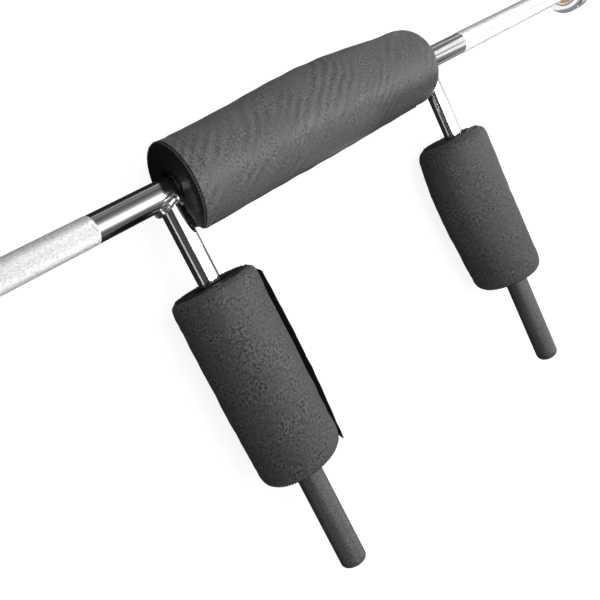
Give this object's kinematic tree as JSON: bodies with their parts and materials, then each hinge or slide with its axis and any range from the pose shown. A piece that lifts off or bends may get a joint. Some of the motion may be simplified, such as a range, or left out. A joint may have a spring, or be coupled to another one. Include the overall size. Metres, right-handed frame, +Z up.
{
  "type": "safety squat bar",
  "caption": "Straight chrome bar with turning plate sleeves, a padded neck roll and forward arms with round pads and hand grips, worn across the shoulders for squats.",
  "frame": {"origin": "on the floor under the middle of the bar's axis, where the bar lies on its three pads", "axes": "+X along the bar, -Y along the arms towards the hand grips, +Z up"},
  "size_m": [2.1986, 0.5296, 0.1025],
  "materials": {
    "chrome": "bright polished plating",
    "bronze": "plain sintered bushing metal",
    "spring_steel": "oiled",
    "cover_fabric": "fine woven polyester, matt",
    "closure_tape": "hook-and-loop tape, matt",
    "pad_foam": "closed-cell foam",
    "grip_foam": "fine speckled grip foam",
    "cap_plastic": "moulded"
  },
  "bodies": {
    "bar": {"bar_shaft": "chrome", "neck_pad_foam": "pad_foam", "neck_pad_cover": "cover_fabric", "neck_pad_closure_flap": "closure_tape", "left_arm_tube": "chrome", "left_arm_weld": "chrome", "left_arm_end_plug": "cap_plastic", "left_hand_grip": "grip_foam", "left_arm_pad_foam": "pad_foam", "left_arm_pad_cover": "cover_fabric", "left_arm_pad_closure_flap": "closure_tape", "left_thrust_washer": "bronze", "left_retaining_washer": "spring_steel", "left_snap_ring": "spring_steel", "right_arm_tube": "chrome", "right_arm_weld": "chrome", "right_arm_end_plug": "cap_plastic", "right_hand_grip": "grip_foam", "right_arm_pad_foam": "pad_foam", "right_arm_pad_cover": "cover_fabric", "right_arm_pad_closure_flap": "closure_tape", "right_thrust_washer": "bronze", "right_retaining_washer": "spring_steel", "right_snap_ring": "spring_steel"},
    "left_sleeve": {"left_sleeve": "chrome", "left_collar": "chrome", "left_inner_bushing": "bronze", "left_outer_bushing": "bronze", "left_sleeve_cap": "cap_plastic"},
    "right_sleeve": {"right_sleeve": "chrome", "right_collar": "chrome", "right_inner_bushing": "bronze", "right_outer_bushing": "bronze", "right_sleeve_cap": "cap_plastic"}
  },
  "joints": [
    {"name": "left_sleeve_spin", "type": "hinge", "parent": "bar", "child": "left_sleeve", "pos_m": [0, 0, 0.0525], "axis": [1, 0, 0], "continuous": true},
    {"name": "right_sleeve_spin", "type": "hinge", "parent": "bar", "child": "right_sleeve", "pos_m": [0, 0, 0.0525], "axis": [1, 0, 0], "continuous": true}
  ]
}
